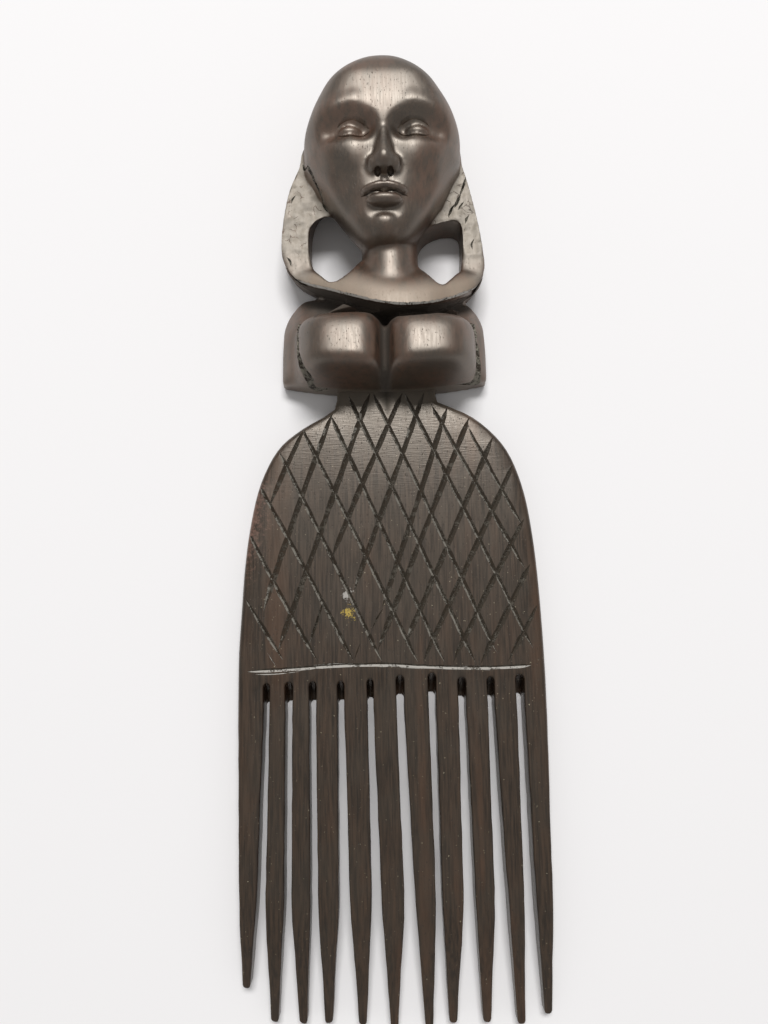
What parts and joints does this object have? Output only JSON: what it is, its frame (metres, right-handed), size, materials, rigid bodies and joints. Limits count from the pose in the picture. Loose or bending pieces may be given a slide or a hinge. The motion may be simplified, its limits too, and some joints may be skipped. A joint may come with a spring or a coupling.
{
  "type": "carved wooden comb",
  "caption": "Long-toothed hair comb carved from one piece of dark wood, with a crosshatched blade and a bust as its handle.",
  "frame": {"origin": "under the middle of the comb's outer box, in the plane of its flat back", "axes": "+Y from the tine tips to the crown of the head, +X across the comb to the right as the carved face is seen, +Z out of the carved face"},
  "size_m": [0.073, 0.2319, 0.0265],
  "materials": {
    "dark_wood": "satin"
  },
  "bodies": {
    "root": {"bust": "dark_wood", "blade": "dark_wood", "tine_1": "dark_wood", "tine_2": "dark_wood", "tine_3": "dark_wood", "tine_4": "dark_wood", "tine_5": "dark_wood", "tine_6": "dark_wood", "tine_7": "dark_wood", "tine_8": "dark_wood", "tine_9": "dark_wood", "tine_10": "dark_wood", "tine_11": "dark_wood"}
  },
  "joints": []
}
